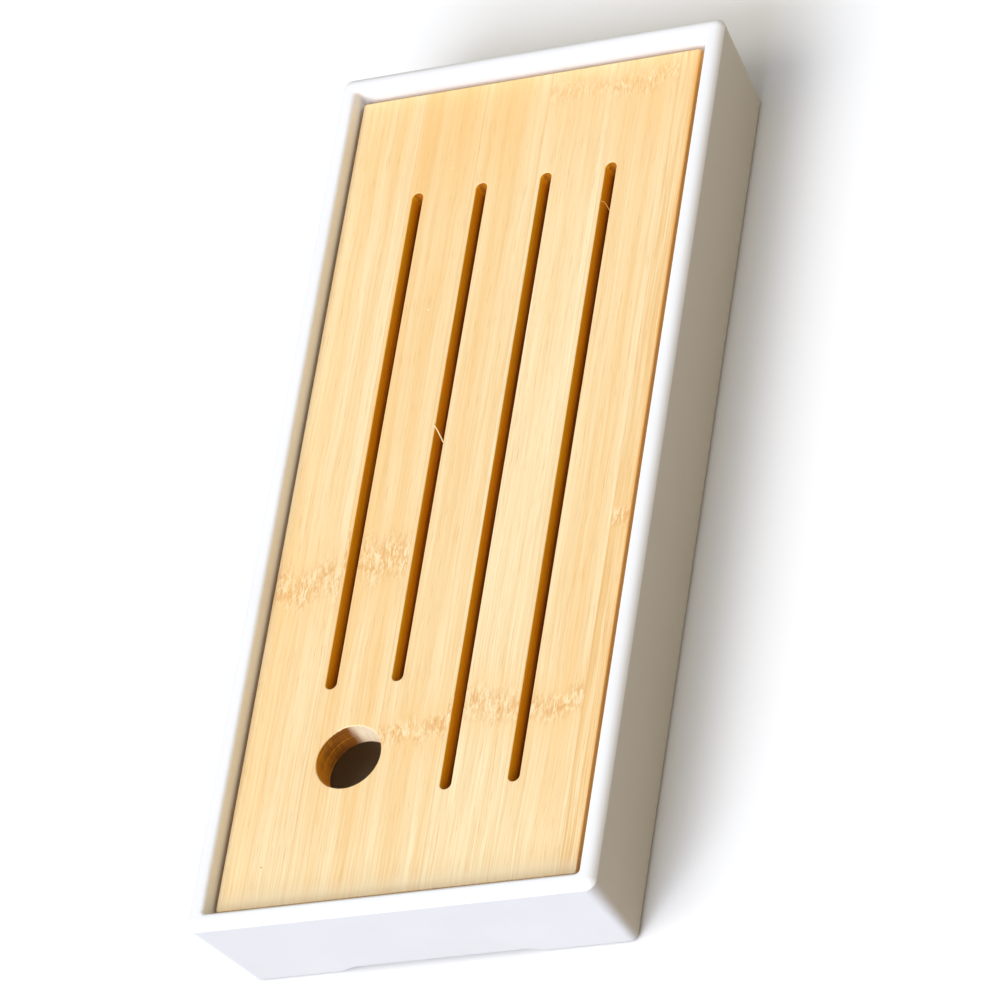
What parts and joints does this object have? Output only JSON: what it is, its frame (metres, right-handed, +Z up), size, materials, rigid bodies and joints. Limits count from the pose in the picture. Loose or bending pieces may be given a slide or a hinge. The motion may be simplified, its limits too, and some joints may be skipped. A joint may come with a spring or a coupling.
{
  "type": "gongfu tea tray",
  "caption": "Small water-storing tea tray: a white moulded basin with a loose slatted bamboo board that lifts out by a finger hole.",
  "frame": {"origin": "centre of the tray's outline, on the plane that it stands on", "axes": "+X across the tray, +Y along it, away from the finger hole's end, +Z up"},
  "size_m": [0.125, 0.29, 0.037],
  "materials": {
    "white_plastic": "smooth satin, moulded",
    "bamboo": "sanded, thin clear oil",
    "silicone": "matt"
  },
  "bodies": {
    "tray": {"basin": "white_plastic", "pad_front_left": "silicone", "pad_front_right": "silicone", "pad_back_left": "silicone", "pad_back_right": "silicone"},
    "board": {"stave_1": "bamboo", "stave_2": "bamboo", "stave_3": "bamboo", "stave_4": "bamboo", "stave_5": "bamboo", "stave_6": "bamboo"}
  },
  "joints": [
    {"name": "board_lift", "type": "slide", "parent": "tray", "child": "board", "axis": [0, 0, 1], "range_m": [0, 0.06]}
  ]
}
